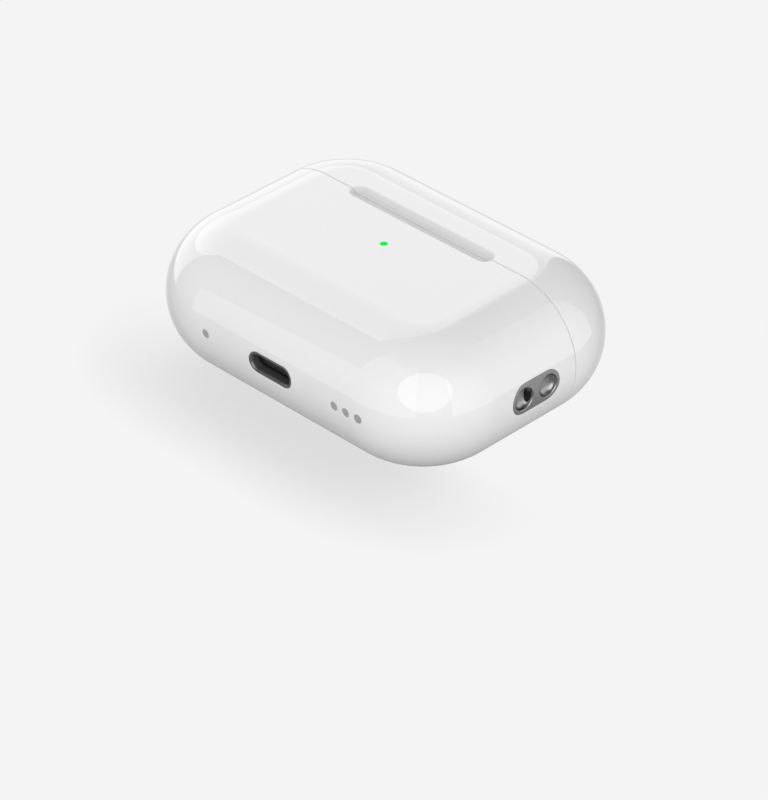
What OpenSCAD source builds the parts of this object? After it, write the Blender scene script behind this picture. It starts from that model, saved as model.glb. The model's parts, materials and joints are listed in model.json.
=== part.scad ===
// Wireless earbuds charging case: two glossy shells on a steel hinge, with a
// cradle for two stemmed earbuds and the electronics that charge them.
// X runs towards the lanyard loop, Y towards the lid, Z from the back face to the front face.
// The origin is the middle of the flat back face, which the case rests on.

/* [Case] */
// Width of the closed case
case_w = 60.6; // [59:0.2:64]
// Height of the closed case, from the port end to the top of the lid
case_h = 45.2; // [45:0.2:48]
// Thickness of the closed case
case_t = 21.7; // [21.5:0.1:22.5]
// Radius of the four corners, seen from the front
corner_r = 14.5; // [14:0.1:15.5]
// Wall thickness of both shells
wall = 1.5; // [1.3:0.1:1.6]

/* [Lid and hinge] */
// Height of the seam above the middle of the case
seam_y = 7.6; // [7.2:0.1:7.8]
// Gap between the two shells at the seam
seam_gap = 0.12; // [0.08:0.02:0.2]
// Length of the thumb groove across the seam
groove_l = 28; // [20:0.5:32]
// Width of the thumb groove
groove_w = 3.2; // [2.4:0.1:3.4]
// Depth of the thumb groove
groove_d = 0.55; // [0.3:0.05:0.7]
// Length of the hinge barrel
hinge_l = 28; // [26:0.5:29]
// Outer radius of the hinge barrel
barrel_r = 1.25; // [1.2:0.05:1.3]
// Radius of the hinge pin
pin_r = 0.6; // [0.5:0.05:0.65]

/* [Earbud wells] */
// Distance of each head bowl from the middle of the case
bowl_x = 14.2; // [14:0.1:14.6]
// Inner radius of the head bowls
bowl_r = 7.8; // [7.4:0.1:7.8]
// Inner radius of the ear tip pockets beside the bowls
tip_r = 5.8; // [5:0.1:5.9]
// Distance of each stem well from the middle of the case
stem_x = 13.5; // [13.3:0.1:13.7]
// Radius of the rounded sides of a stem well
stem_r = 3.2; // [2.8:0.1:3.2]
// Distance of the stem wells' floor below the middle of the case
stem_floor = 15.5; // [14:0.1:15.5]

/* [Openings] */
// Length of the charging port's opening
port_l = 8.6; // [8.2:0.1:9]
// Height of the charging port's opening
port_h = 3.44; // [3.2:0.02:3.6]
// Radius of the speaker and vent holes
sound_hole_r = 0.68; // [0.5:0.02:0.75]
// Spacing of the three speaker holes
sound_pitch = 2.27; // [2:0.01:2.4]
// Length of the lanyard loop's face
loop_l = 9.5; // [9:0.1:10]
// Height of the lanyard loop's face
loop_h = 5.0; // [4.6:0.1:5.2]
// Radius of the status light
light_r = 0.55; // [0.4:0.05:0.7]
// Radius of the pairing button
button_r = 2.75; // [2.4:0.05:2.9]
// Travel of the pairing button
button_travel = 0.3; // [0.2:0.05:0.3]

/* [Charging coil] */
// Turns of the charging coil
coil_turns = 7; // [5:1:7]
// Distance between two turns
coil_pitch = 0.6; // [0.5:0.02:0.6]
// Width of the flat wire
wire_w = 0.4; // [0.3:0.02:0.42]

/* [Hidden] */
$fn = 72;

// Free space between pieces that are fitted together
fit = 0.05;
mid_z = case_t / 2;
edge_r = case_t / 2;            // radius of the fully round edges
base_top = seam_y - seam_gap / 2;
lid_foot = seam_y + seam_gap / 2;

hinge_z = barrel_r + 0.05;      // the barrel lies just under the back face
relief_angle = 54;              // slope of the shells beside the hinge, so that the lid can turn
knuckle_x = 8;                  // where the middle knuckle ends
knuckle_gap = 0.12;
leaf_z = 1.6;
leaf_t = 0.8;
base_leaf_y = 3;
lid_leaf_y = 12.9;
hinge_screw_x = 11;
base_screw_y = 4.5;
lid_screw_y = 11.2;
base_screw_tip = 5.5;           // how far up the screws reach, short of the head bowls
lid_screw_tip = 4.1;
screw_r = 0.6;
screw_head_r = 1.0;
screw_head_t = 0.45;

deck_t = 1.4;                   // thickness of the cradle's and liner's decks
deck_drop = 0.15;               // how far the cradle's deck lies below the seam
deck_y = base_top - deck_drop;
bowl_y = 9.2;
bowl_z = 11.3;
bowl_wall = 1;
tip_x = 20.2;
stem_z = 11;
stem_offset = 0.6;              // half the straight part of a stem well's outline
stem_wall = 0.9;

loop_y = -0.45;
loop_depth = 3.2;
dimple_y = 2.45;
dimple_r = 1.95;                // radius of the balls that form the two dimples
dimple_lift = 0.65;             // how far those balls' middles lie outside the face
tunnel_depth = 0.95;            // middle of the cord's passage, below the face
tunnel_w = 2.1;
tunnel_h = 1.1;

port_rim = 0.45;
socket_y = -20.3;
socket_end = -13.4;
speaker_x = 12.72;              // the first speaker hole
vent_x = -13.15;
mesh_depth = 0.12;

button_y = -6;
button_sink = 0.1;              // the cap stays clear of a table under the case
flange_r = 3.4;
flange_t = 0.5;
plunger_r = 0.8;
plunger_top = wall + 0.8;
coil_in_r = 4.2;
coil_z = 2.3;
coil_t = 0.5;

board_z = 16.2;
board_t = 0.8;
board_screw_x = 19.4;
board_screw_y = -8;
arm_z = 10;                     // height of the arms that carry the board's bosses

// Repeated shapes

// A D-shaped section: a rectangle that ends in a half disc
module half_round(r, core) {
    translate([0, -r]) square([core, 2 * r]);
    translate([core, 0]) intersection() {
        circle(r);
        translate([0, -r]) square([r, 2 * r]);
    }
}

// A flat box with turned corners and fully round edges, centred on the origin
module pill(w, h, t, rc) {
    r = t / 2;
    core = rc - r;
    sx = w / 2 - rc;
    sy = h / 2 - rc;
    corners = [[sx, sy], [-sx, sy], [-sx, -sy], [sx, -sy]];
    for (i = [0:3])
        translate(corners[i]) rotate(90 * i) rotate_extrude(angle = 90) half_round(r, core);
    for (i = [0:3])
        rotate(90 * i) {
            out = i % 2 == 0 ? sx : sy;
            along = i % 2 == 0 ? sy : sx;
            translate([out, along, 0]) rotate([90, 0, 0])
                linear_extrude(2 * along) half_round(r, core);
        }
    translate([-sx, -sy, -r]) cube([2 * sx, 2 * sy, 2 * r]);
}

// The case's outer form, made smaller all round by an inset
module case_form(inset = 0) {
    translate([0, 0, mid_z])
        pill(case_w - 2 * inset, case_h - 2 * inset, case_t - 2 * inset, corner_r - inset);
}

// A box between two heights in Y, wider than the case
module y_slab(low, high) {
    translate([-case_w, low, -case_t]) cube([2 * case_w, high - low, 3 * case_t]);
}

module box(low, high) {
    translate(low) cube(high - low);
}

module stadium(l, h) {
    translate([-(l - h) / 2, -h / 2]) square([l - h, h]);
    for (s = [-1, 1]) translate([s * (l - h) / 2, 0]) circle(h / 2);
}

// A bar with a stadium section that runs in +Y from y = start
module stadium_y(l, h, start, end) {
    translate([0, end, mid_z]) rotate([90, 0, 0]) linear_extrude(end - start) stadium(l, h);
}

// A round bar in +Y
module rod_y(r, start, end) {
    translate([0, start, 0]) rotate([-90, 0, 0]) cylinder(r = r, h = end - start);
}

// A round bar in X, centred
module rod_x(r, l) {
    rotate([0, 90, 0]) cylinder(r = r, h = l, center = true);
}

module both_sides() {
    children();
    mirror([1, 0, 0]) children();
}

// The triangular relief that runs along the back of the seam
module seam_relief() {
    top = hinge_z + 0.1;
    below = 1;
    half = (top + below) * tan(relief_angle);
    translate([-case_w / 2, 0, 0]) rotate([90, 0, 90]) linear_extrude(case_w)
        polygon([[seam_y, top], [seam_y - half, -below], [seam_y + half, -below]]);
}

module hinge_window() {
    half = 1.95;
    box([-hinge_l / 2 - 0.15, seam_y - half, -1], [hinge_l / 2 + 0.15, seam_y + half, wall + 0.1]);
}

// Room for the hinge between two places in Y, up to a height above the back face
module hinge_room(low, high, top) {
    room = 0.3;
    box([-hinge_l / 2 - room, low - room, 0], [hinge_l / 2 + room, high + room, top]);
}

// The shallow thumb groove: a long ball-ended bar sunk into the front face
module thumb_groove() {
    r = (pow(groove_w / 2, 2) + pow(groove_d, 2)) / (2 * groove_d);
    half = (groove_l - groove_w) / 2;
    translate([0, seam_y, case_t - groove_d + r]) rotate([0, 90, 0]) rotate_extrude()
        union() {
            translate([0, -half]) square([r, 2 * half]);
            for (s = [0, 1]) mirror([0, s]) translate([0, half]) intersection() {
                circle(r);
                square(r);
            }
        }
}

// A hinge leaf's flat part, reaching in Y from its origin
module leaf_plate(reach) {
    translate([-hinge_l / 2, 0, leaf_z]) cube([hinge_l, reach, leaf_t]);
}

module screw_hole(y) {
    both_sides() translate([hinge_screw_x, y, 0]) {
        translate([0, 0, -1]) cylinder(r = screw_r + fit, h = 10);
        translate([0, 0, -1]) cylinder(r = screw_head_r + fit, h = 1 + leaf_z + screw_head_t + fit);
    }
}

module hinge_screw_pair(y, tip) {
    both_sides() translate([hinge_screw_x, y, leaf_z]) {
        difference() {
            cylinder(r = screw_head_r, h = screw_head_t);
            translate([0, 0, -0.1]) cylinder(r = 0.45, h = 0.35, $fn = 6);
        }
        cylinder(r = screw_r, h = tip - leaf_z);
    }
}

// A head bowl with its ear tip pocket, turned about an axis in X
module bowl(grow) {
    translate([0, bowl_y, bowl_z]) rotate([0, 90, 0]) rotate(45) rotate_extrude() intersection() {
        union() {
            translate([0, bowl_x]) circle(bowl_r + grow);
            translate([0, tip_x]) circle(tip_r + grow);
        }
        square([case_w, case_w]);
    }
}

// An upright bar with the stem wells' outline
module stem_bar(grow, floor_y, top_y) {
    r = stem_r + grow;
    translate([stem_x, top_y, stem_z]) rotate([90, 0, 0])
        linear_extrude(top_y - floor_y) rotate(90) stadium(2 * (r + stem_offset), 2 * r);
}

// Outer pieces

module base_shell() {
    color("white") difference() {
        intersection() {
            case_form();
            y_slab(-case_h, base_top);
        }
        case_form(wall);
        seam_relief();
        hinge_window();
        thumb_groove();
        stadium_y(port_l, port_h, -case_h, socket_y);
        for (i = [0:2]) translate([speaker_x + i * sound_pitch, 0, mid_z])
            rod_y(sound_hole_r, -case_h, socket_y);
        translate([vent_x, 0, mid_z]) rod_y(sound_hole_r, -case_h, socket_y);
        loop_bar(0, -loop_depth - 1, 5);
        translate([0, 0, mid_z]) cylinder(r = light_r + fit, h = case_t);
        translate([0, button_y, -1]) cylinder(r = button_r + 0.1, h = wall + 2);
    }
}

module lid_shell() {
    color("white") difference() {
        intersection() {
            case_form();
            y_slab(lid_foot, case_h);
        }
        case_form(wall);
        seam_relief();
        hinge_window();
        thumb_groove();
    }
}

module pairing_button() {
    color("white") translate([0, button_y, button_sink]) {
        cylinder(r = button_r, h = wall + fit + flange_t - button_sink);
        translate([0, 0, wall + fit - button_sink]) cylinder(r = flange_r, h = flange_t);
        cylinder(r = plunger_r, h = plunger_top - button_sink);
    }
}

// A stadium-shaped bar in X through the lanyard side, between two distances from the side's face
module loop_bar(gap, low, high) {
    translate([case_w / 2 + low, loop_y, mid_z]) rotate([90, 0, 90])
        linear_extrude(high - low) stadium(loop_l - 2 * gap, loop_h - 2 * gap);
}

module lanyard_loop() {
    color("silver") difference() {
        intersection() {
            loop_bar(fit, -loop_depth, 5);
            case_form(0.02);
        }
        for (s = [-1, 1]) translate([case_w / 2 + dimple_lift, loop_y + s * dimple_y, mid_z])
            sphere(dimple_r);
        translate([case_w / 2 - tunnel_depth, loop_y + dimple_y, mid_z]) rotate([90, 0, 0])
            linear_extrude(2 * dimple_y) rotate(90) stadium(tunnel_w, tunnel_h);
    }
}

module lanyard_backplate() {
    plate_x = case_w / 2 - loop_depth - 0.9;
    color("gray") box([plate_x, loop_y - 5.6, mid_z - 3.4], [plate_x + 0.8, loop_y + 4.6, mid_z + 3.4]);
}

module port_collar() {
    color("dimgray") difference() {
        intersection() {
            stadium_y(port_l - 2 * fit, port_h - 2 * fit, -case_h, -20.95);
            case_form(0.02);
        }
        stadium_y(port_l - 4 * port_rim, port_h - 2 * port_rim, -case_h, 0);
        stadium_y(port_l - 2 * port_rim, port_h - port_rim, -case_h, -case_h / 2 + port_rim / 2);
    }
}

// Cradle and liner

module inner_cradle() {
    color("white") difference() {
        union() {
            intersection() {
                case_form(wall + fit);
                y_slab(deck_y - deck_t, deck_y);
            }
            intersection() {
                both_sides() bowl(bowl_wall);
                y_slab(-case_h, deck_y);
            }
            both_sides() {
                stem_bar(stem_wall, -stem_floor - stem_wall, bowl_y - 2);
                translate([board_screw_x, board_screw_y, arm_z])
                    cylinder(r = 1.5, h = board_z - fit - arm_z);
                box([17, board_screw_y - 1, arm_z], [board_screw_x, board_screw_y + 1, arm_z + 2]);
                translate([hinge_screw_x, base_screw_y, leaf_z + leaf_t + fit])
                    cylinder(r = 1.5, h = 5);
            }
        }
        both_sides() {
            bowl(0);
            stem_bar(0, -stem_floor, bowl_y - bowl_r / 2);
            for (s = [-1, 1]) translate([stem_x + s * 1.3, 0, stem_z])
                rod_y(0.45, -stem_floor - 2, -stem_floor + 1);
            translate([board_screw_x, board_screw_y, 11]) cylinder(r = screw_r + fit, h = 8);
            translate([hinge_screw_x, base_screw_y, 0]) cylinder(r = screw_r + fit, h = base_screw_tip + fit);
        }
        hinge_room(base_leaf_y, case_h, leaf_z + leaf_t);
        hinge_room(seam_y - barrel_r, case_h, 2 * barrel_r + 0.3);
    }
}

module lid_liner() {
    foot = lid_foot + deck_drop;
    color("white") difference() {
        union() {
            intersection() {
                case_form(wall + fit);
                y_slab(foot, foot + deck_t);
            }
            intersection() {
                both_sides() bowl(bowl_wall);
                y_slab(foot, case_h);
            }
            both_sides() translate([hinge_screw_x, lid_screw_y, leaf_z + leaf_t + fit])
                cylinder(r = 1.5, h = 4);
        }
        both_sides() {
            bowl(0);
            translate([hinge_screw_x, lid_screw_y, 0]) cylinder(r = screw_r + fit, h = lid_screw_tip + fit);
        }
        hinge_room(0, lid_leaf_y, leaf_z + leaf_t);
        hinge_room(0, seam_y + barrel_r, 2 * barrel_r + 0.3);
    }
}

// Hinge

module hinge_base_leaf() {
    color("silver") difference() {
        union() {
            both_sides() translate([(hinge_l / 2 + knuckle_x + knuckle_gap) / 2, seam_y, hinge_z])
                rod_x(barrel_r, hinge_l / 2 - knuckle_x - knuckle_gap);
            translate([0, base_leaf_y, 0]) leaf_plate(seam_y - base_leaf_y);
        }
        box([-knuckle_x - knuckle_gap, seam_y - barrel_r - 0.2, 0], [knuckle_x + knuckle_gap, case_h, 5]);
        translate([0, seam_y, hinge_z]) rod_x(pin_r + 0.01, 2 * hinge_l);
        screw_hole(base_screw_y);
    }
}

module hinge_lid_leaf() {
    color("silver") difference() {
        union() {
            translate([0, seam_y, hinge_z]) rod_x(barrel_r, 2 * knuckle_x - 2 * knuckle_gap);
            translate([0, seam_y, 0]) leaf_plate(lid_leaf_y - seam_y);
        }
        both_sides() box([knuckle_x - knuckle_gap, 0, 0], [hinge_l, seam_y + barrel_r + 0.2, 5]);
        translate([0, seam_y, hinge_z]) rod_x(pin_r + 0.04, 2 * hinge_l);
        screw_hole(lid_screw_y);
    }
}

module hinge_pin() {
    color("silver") translate([0, seam_y, hinge_z]) rod_x(pin_r, hinge_l - 0.4);
}

module hinge_washers() {
    color("silver") both_sides() translate([knuckle_x, seam_y, hinge_z]) difference() {
        rod_x(barrel_r - 0.15, 2 * knuckle_gap - 0.06);
        rod_x(pin_r + 0.04, 1);
    }
}

module base_hinge_screws() {
    color("gray") hinge_screw_pair(base_screw_y, base_screw_tip);
}

module lid_hinge_screws() {
    color("gray") hinge_screw_pair(lid_screw_y, lid_screw_tip);
}

// Charging port, sound and light

module port_gasket() {
    color("black") difference() {
        stadium_y(10.2, 5, socket_y - 0.4, socket_y - fit);
        stadium_y(8.2, 3, socket_y - 1, socket_y + 1);
    }
}

module port_socket() {
    color("darkgray") difference() {
        box([-4.7, socket_y, mid_z - 1.9], [4.7, socket_end, mid_z + 1.9]);
        box([-3.45, socket_y - 1, mid_z - 0.85], [3.45, socket_end - 0.6, mid_z + 0.85]);
        for (i = [0:7]) translate([(i - 3.5) * 0.78, 0, 0])
            box([-0.22, socket_y + 1.5, mid_z + 0.8], [0.22, socket_end - 0.6, mid_z + 1.3]);
    }
}

module port_contacts() {
    color("gold") for (i = [0:7]) translate([(i - 3.5) * 0.78, 0, 0])
        box([-0.18, socket_y + 1.6, mid_z + 0.65], [0.18, socket_end - 0.7, mid_z + 1.2]);
}

module speaker_module() {
    color("dimgray") difference() {
        box([11, -19.5, mid_z - 2.9], [19.4, -17.3, mid_z + 2.9]);
        box([12, -19.8, mid_z - 2.1], [18.4, -19.1, mid_z + 2.1]);
    }
}

module speaker_gasket() {
    color("black") difference() {
        box([11.5, -20.3, mid_z - 2.2], [18.2, -19.55, mid_z + 2.2]);
        box([12.1, -21, mid_z - 1.5], [17.8, -19, mid_z + 1.5]);
    }
}

// A disc of woven mesh that closes a sound hole a little below the surface
module mesh_disc(x) {
    depth = -case_h / 2 + mesh_depth;
    translate([x, 0, mid_z]) rod_y(sound_hole_r - 0.03, depth, depth + 0.3);
}

module speaker_mesh() {
    color("gray") for (i = [0:2]) mesh_disc(speaker_x + i * sound_pitch);
}

module vent_mesh() {
    color("gray") mesh_disc(vent_x);
}

module status_led() {
    color("palegreen") {
        box([-0.8, -0.4, board_z + board_t], [0.8, 0.4, board_z + board_t + 0.35]);
        translate([0, 0, board_z + board_t]) cylinder(r = 0.3, h = 0.5);
    }
}

module light_pipe() {
    color("lime") {
        translate([0, 0, board_z + board_t + 0.7])
            cylinder(r = light_r, h = case_t - board_z - board_t - 0.71);
        translate([0, 0, case_t - wall - 1]) cylinder(r = 1.3, h = 0.95);
    }
}

// Power and electronics

module battery_cell() {
    color("dimgray") difference() {
        box([-8.8, -13, 4.8], [8.8, 1.2, 15.6]);
        both_sides() box([7.9, -14, 14.9], [9, 2, 16]);
    }
}

module battery_foam() {
    color("black") box([-7, -12, 3.8], [7, 0, 4.75]);
}

module battery_cable() {
    color("orange") {
        box([-6, 1.25, 9.6], [-2, 1.5, board_z - fit]);
        box([-5, 1.25, 9.6], [-3, 1.9, 10.6]);
    }
}

module logic_board() {
    color("darkgreen") difference() {
        union() {
            box([-21, -13.5, board_z], [21, -1.2, board_z + board_t]);
            box([-7, -13.5, board_z], [7, 1.8, board_z + board_t]);
        }
        both_sides() {
            translate([board_screw_x, board_screw_y, 0]) cylinder(r = screw_r + 0.1, h = 30);
            translate([21.5, -14, 0]) cylinder(r = 3, h = 30);
        }
    }
}

// Low block on the front side of the board
module chip(x, y, w, h, t) {
    translate([x - w / 2, y - h / 2, board_z + board_t]) cube([w, h, t]);
}

module board_chips() {
    color("black") {
        chip(9, -8.5, 4, 4, 0.9);
        chip(14, -4, 3.2, 3, 0.8);
        chip(-15.5, -4.5, 3, 3, 0.8);
        chip(-15.5, -10.5, 3, 2.4, 0.8);
        chip(13.6, -11, 2.6, 2, 0.7);
        chip(3.6, -1.2, 1.6, 1, 0.5);
        for (i = [0:4]) chip(-4 + 2 * i, -11.8, 0.6, 1.1, 0.5);
    }
}

module shield_can() {
    color("silver") difference() {
        chip(-6, -6.5, 9.5, 7.5, 1.3);
        translate([0, 0, -0.2]) chip(-6, -6.5, 9.1, 7.1, 1.3);
    }
}

module board_screws() {
    color("gray") both_sides() translate([board_screw_x, board_screw_y, 0]) {
        translate([0, 0, 11.5]) cylinder(r = screw_r, h = board_z + board_t - 11.5);
        translate([0, 0, board_z + board_t]) difference() {
            cylinder(r = screw_head_r, h = screw_head_t);
            translate([0, 0, 0.2]) cylinder(r = 0.45, h = 1, $fn = 6);
        }
    }
}

// Points along a flat spiral that starts at a given radius
function spiral(start_r, steps = 30) = [
    for (i = [0:coil_turns * steps])
        let (a = 360 * i / steps, r = start_r + coil_pitch * i / steps) [r * cos(a), r * sin(a)]
];

module charging_coil() {
    inner = spiral(coil_in_r);
    outer = spiral(coil_in_r + wire_w);
    path = concat(outer, [for (i = [len(inner) - 1:-1:0]) inner[i]]);
    color("peru") translate([0, button_y, coil_z]) linear_extrude(coil_t) polygon(path);
}

module ferrite_sheet() {
    color("dimgray") translate([0, button_y, coil_z + coil_t + fit]) difference() {
        translate([-9, -8.7, 0]) cube([18, 17.4, 0.4]);
        translate([0, 0, -1]) cylinder(r = 3.7, h = 3);
    }
}

module alignment_magnets() {
    color("silver") both_sides() for (a = [-24:16:24]) translate([0, button_y, 1.7])
        rotate(a - 7) rotate_extrude(angle = 14) translate([9.7, 0]) square([1.8, 1.1]);
}

module charge_pins() {
    color("gold") both_sides() for (s = [-1, 1]) translate([stem_x + s * 1.3, 0, stem_z])
        rod_y(0.4, -stem_floor - stem_wall - 0.2, -stem_floor + 0.3);
}

module charge_flex() {
    y = -stem_floor - stem_wall - 0.2;
    color("orange") box([-16.5, y - 0.2, stem_z - 1.5], [-5.2, y, stem_z + 1.5]);
    color("orange") box([5.2, y - 0.2, stem_z - 1.5], [16.5, y, stem_z + 1.5]);
}

module bud_magnets() {
    color("silver") both_sides() translate([22, 0, bowl_z]) rod_y(1.6, 0.2, 2.2);
}

module base_closure_magnet() {
    top = deck_y - deck_t - fit;
    color("silver") box([-3.6, top - 2, 15.2], [3.6, top, 18.4]);
}

module lid_closure_magnet() {
    foot = lid_foot + deck_drop + deck_t + fit;
    color("silver") box([-3.6, foot, 15.2], [3.6, foot + 2, 18.4]);
}

module hall_sensor() {
    top = deck_y - deck_t - fit;
    color("black") box([-0.9, top - 0.8, 5.2], [0.9, top, 6.8]);
}

module lid_sensor_magnet() {
    foot = lid_foot + deck_drop + deck_t + fit;
    color("silver") translate([0, 0, 6]) rod_y(1.5, foot, foot + 1.5);
}

module button_switch() {
    z = plunger_top + button_travel + fit;
    color("silver") translate([0, button_y, z]) {
        difference() {
            translate([-2, -2, 0.1]) cube([4, 4, 0.65]);
            translate([0, 0, -1]) cylinder(r = 1.5, h = 1.5);
        }
        cylinder(r = 1.2, h = 0.5);
    }
}

module button_flex() {
    z = plunger_top + button_travel + 0.75 + 2 * fit;
    color("orange") box([-2.2, -14, z], [2.2, -3.2, z + 0.15]);
}

base_shell();
inner_cradle();
lanyard_loop();
lanyard_backplate();
port_collar();
port_gasket();
port_socket();
port_contacts();
battery_cell();
battery_foam();
battery_cable();
logic_board();
board_chips();
shield_can();
board_screws();
charging_coil();
ferrite_sheet();
alignment_magnets();
charge_pins();
charge_flex();
bud_magnets();
base_closure_magnet();
hall_sensor();
speaker_module();
speaker_gasket();
speaker_mesh();
vent_mesh();
status_led();
light_pipe();
button_switch();
button_flex();
hinge_base_leaf();
hinge_pin();
hinge_washers();
base_hinge_screws();
lid_shell();
lid_liner();
hinge_lid_leaf();
lid_hinge_screws();
lid_closure_magnet();
lid_sensor_magnet();
pairing_button();
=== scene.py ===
import json
import math

import bmesh
import bpy
import numpy as np
from mathutils import Matrix, Vector


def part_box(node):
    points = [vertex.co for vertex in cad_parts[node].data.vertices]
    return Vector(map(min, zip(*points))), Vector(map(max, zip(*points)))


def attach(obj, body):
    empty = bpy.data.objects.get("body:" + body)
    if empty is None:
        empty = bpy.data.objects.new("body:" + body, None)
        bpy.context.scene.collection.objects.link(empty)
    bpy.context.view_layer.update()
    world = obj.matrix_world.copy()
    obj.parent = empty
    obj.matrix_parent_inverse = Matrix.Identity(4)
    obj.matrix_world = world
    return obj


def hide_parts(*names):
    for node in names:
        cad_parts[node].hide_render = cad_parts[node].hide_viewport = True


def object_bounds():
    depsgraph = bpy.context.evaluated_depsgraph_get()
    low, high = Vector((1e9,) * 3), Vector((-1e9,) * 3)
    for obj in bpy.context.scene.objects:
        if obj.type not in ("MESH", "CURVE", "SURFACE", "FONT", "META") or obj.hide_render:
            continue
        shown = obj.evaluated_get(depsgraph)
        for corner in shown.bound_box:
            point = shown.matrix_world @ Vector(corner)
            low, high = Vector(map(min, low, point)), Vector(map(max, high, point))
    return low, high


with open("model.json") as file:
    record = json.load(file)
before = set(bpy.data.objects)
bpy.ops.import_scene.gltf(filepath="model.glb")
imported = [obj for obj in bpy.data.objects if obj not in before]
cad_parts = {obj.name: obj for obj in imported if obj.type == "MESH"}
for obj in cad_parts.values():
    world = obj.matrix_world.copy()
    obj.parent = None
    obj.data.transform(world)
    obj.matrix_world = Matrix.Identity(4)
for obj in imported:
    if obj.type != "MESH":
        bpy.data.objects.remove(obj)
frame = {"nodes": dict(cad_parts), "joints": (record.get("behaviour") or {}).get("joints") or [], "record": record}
cad_low, cad_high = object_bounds()

MM = 0.001

# ---------------------------------------------------------------- dimensions, from the frame
HALF_W = (cad_high.x - cad_low.x) / 2
HALF_H = (cad_high.y - cad_low.y) / 2
EDGE_R = (cad_high.z - cad_low.z) / 2
MID_Z = (cad_high.z + cad_low.z) / 2
CORNER_R = 14.5 * MM
CORE_R = CORNER_R - EDGE_R
CORE_X = HALF_W - CORNER_R
CORE_Y = HALF_H - CORNER_R
FLAT_X = HALF_W - EDGE_R
WALL = 1.5 * MM
BASE_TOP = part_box("base_shell")[1].y
LID_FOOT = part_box("lid_shell")[0].y
SEAM_Y = (BASE_TOP + LID_FOOT) / 2
SEAM_FILLET = 0.09 * MM
HINGE = Vector(next(j for j in frame["joints"] if j["name"] == "lid_hinge")["pos_m"])

GROOVE_L = 28.0 * MM
GROOVE_W = 3.2 * MM
GROOVE_D = 0.55 * MM
GROOVE_BANK = 0.85 * MM
PLATE_DROP = 0.02 * MM                 # the loop's plate lies this far below the shell's surface

LED_HOLE_R = 0.6 * MM
BUTTON_HOLE_R = 2.85 * MM
BUTTON_R = 2.75 * MM
GAP = 0.1 * MM                         # round the port's ring and the loop, both sides together
CUT_DEPTH = 2.4 * MM                   # past the wall everywhere
OUTSIDE = 1.0 * MM                     # how far a cutter stands out of the form
NOT_QUITE = 0.9999                     # a round hole is a stadium a hair longer than it is tall

FLAT_STEPS = 156
ARC_STEPS = 64
CORNER_STEPS = 32
FILLET_STEPS = 5
FINE_ROW = 0.08 * MM                   # across the thumb groove
COARSE_ROW = 0.7 * MM

# ---------------------------------------------------------------- light levels, and places in degrees
BACKDROP_LEVEL = 0.905
SKY_TOP, SKY_FOOT, GROUND_LEVEL = 0.09, 0.33, 0.31
SKY_MIDDLE, SKY_BAND = 38, 36          # where the sky goes from foot to top, and how gently
HORIZON, PANEL_TOP, PANEL_BAND = -12, 62, 12
# A panel: two azimuths, level, fade. A round: azimuth, elevation, radius, level, and maybe a soft band.
TALL_PANELS = [(-152, -77, 1.38, 0.95), (-41, 37, 0.80, 0.0), (75, 157, 1.00, 0.85)]
FAR_ROUND = (-112, 38, 27.5, 1.15)
NEAR_AZIMUTH, NEAR_ELEVATION, NEAR_RADIUS, NEAR_LEVEL = 47, 27, 29, 1.85
# the table's patch in the painted reflection on the shell, and that reflection's ceiling
TABLE_GLARE = (-135, -34, 26, 0.54, 20)
PAINTED_REFLECTION_CEILING = 0.22


# ---------------------------------------------------------------- mesh helpers

class Patches:
    """Collects grids of points as quads, and joins them where their edges meet."""

    def __init__(self):
        self.points = []
        self.faces = []
        self.count = 0

    def grid(self, points, flip=False):
        points = np.asarray(points, float)
        rows, cols = points.shape[:2]
        start = self.count
        self.points.append(points.reshape(-1, 3))
        self.count += rows * cols
        for i in range(rows - 1):
            for j in range(cols - 1):
                a = start + i * cols + j
                quad = (a, a + 1, a + cols + 1, a + cols)
                self.faces.append(quad[::-1] if flip else quad)

    def mesh(self, name, weld=2e-7):
        data = bpy.data.meshes.new(name)
        data.from_pydata(np.vstack(self.points).tolist(), [], self.faces)
        bm = bmesh.new()
        bm.from_mesh(data)
        bmesh.ops.remove_doubles(bm, verts=bm.verts, dist=weld)
        bmesh.ops.dissolve_degenerate(bm, edges=bm.edges, dist=weld)
        bmesh.ops.recalc_face_normals(bm, faces=bm.faces)
        bm.to_mesh(data)
        bm.free()
        return data


def new_object(name, data):
    piece = bpy.data.objects.new(name, data)
    bpy.context.scene.collection.objects.link(piece)
    return piece


def cut(piece, cutters):
    """Takes the cutters' volume out of a piece, and removes them."""
    for tool in cutters:
        step = piece.modifiers.new("cut", "BOOLEAN")
        step.operation = "DIFFERENCE"
        step.solver = "EXACT"
        step.object = tool
    bpy.context.view_layer.update()
    shaped = piece.evaluated_get(bpy.context.evaluated_depsgraph_get())
    piece.data = bpy.data.meshes.new_from_object(shaped)
    piece.modifiers.clear()
    for tool in cutters:
        bpy.data.objects.remove(tool)
    return piece


def smooth(piece, angle=30.0):
    piece.data.shade_smooth()
    piece.data.set_sharp_from_angle(angle=math.radians(angle))


# ---------------------------------------------------------------- the case's outer form

def surface_drop(across):
    """How far the round side lies inside its widest line, at a height above or below it."""
    return EDGE_R - math.sqrt(max(EDGE_R ** 2 - across ** 2, 0.0))


def side_x(z):
    """Where the lanyard side's surface is, at a height."""
    return HALF_W - surface_drop(z - MID_Z)


def end_y(x, z):
    """Where the port side's surface is, at a place on it."""
    beyond = max(abs(x) - CORE_X, 0.0)
    level = math.sqrt(max(EDGE_R ** 2 - (z - MID_Z) ** 2, 0.0))
    return -(CORE_Y + math.sqrt(max((CORE_R + level) ** 2 - beyond ** 2, 0.0)))


def groove_inside(x, y):
    """How far inside the thumb groove's outline a place on the front face is."""
    half = (GROOVE_L - GROOVE_W) / 2
    return GROOVE_W / 2 - math.hypot(max(abs(x) - half, 0.0), y - SEAM_Y)


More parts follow.
